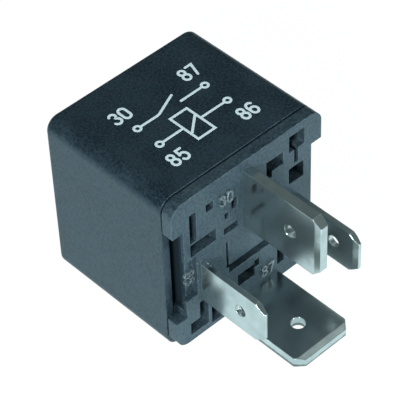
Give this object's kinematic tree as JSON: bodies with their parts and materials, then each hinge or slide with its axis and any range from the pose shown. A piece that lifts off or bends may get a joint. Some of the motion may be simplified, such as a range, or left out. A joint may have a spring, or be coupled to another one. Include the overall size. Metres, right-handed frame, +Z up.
{
  "type": "automotive relay",
  "caption": "Plug-in automotive power relay: boxed cover, moulded base with four blade terminals, and a hinged armature magnet switch inside.",
  "frame": {"origin": "centre of the base's terminal face, on the middle of the body's width and height", "axes": "+X out of the base along the blades; +Z up, from the wall it lies on to the printed wall; +Y towards coil terminal 86"},
  "size_m": [0.0371, 0.026, 0.0262],
  "materials": {
    "cover_plastic": "fine spark-eroded grain, near black",
    "base_plastic": "fine grain, dark grey",
    "tinned_brass": "bright tin plating, lightly rubbed",
    "yoke_steel": "zinc-plated sheet steel",
    "core_steel": "turned soft iron, nickel-plated",
    "bobbin_plastic": "natural polyamide",
    "enamelled_wire": "enamelled copper wire",
    "tape": "thin yellow polyester tape",
    "wire_ends": "enamelled copper wire, tinned at the end",
    "spring_bronze": "cold-rolled spring bronze",
    "rivet_metal": "bright rivet heads",
    "armature_steel": "punched soft iron plate, nickel-plated",
    "leaf_bronze": "cold-rolled spring bronze",
    "rivet_steel": "bright rivet heads",
    "contact_silver": "silver alloy, slightly domed wear mark",
    "contact_rivet": "silver alloy",
    "copper_braid": "fine copper strands",
    "pale_ink": "thin pad-printed ink, pale grey"
  },
  "bodies": {
    "relay": {"cover": "cover_plastic", "base": "base_plastic", "terminal_30": "tinned_brass", "terminal_87": "tinned_brass", "terminal_85": "tinned_brass", "terminal_86": "tinned_brass", "yoke": "yoke_steel", "core": "core_steel", "bobbin": "bobbin_plastic", "winding": "enamelled_wire", "winding_tape": "tape", "coil_lead_85": "wire_ends", "coil_lead_86": "wire_ends", "hinge_spring": "spring_bronze", "yoke_rivets": "rivet_metal", "fixed_contact": "contact_rivet"},
    "armature": {"armature": "armature_steel", "contact_spring": "leaf_bronze", "armature_rivets": "rivet_steel", "moving_contact": "contact_silver", "braid": "copper_braid"}
  },
  "joints": [
    {"name": "armature_hinge", "type": "hinge", "parent": "relay", "child": "armature", "pos_m": [-0.0184, 0, 0.0106], "axis": [0, -1, 0], "range_deg": [0, 2.8], "stiffness_Nm_per_rad": 0.02, "springref_deg": -8.59}
  ]
}
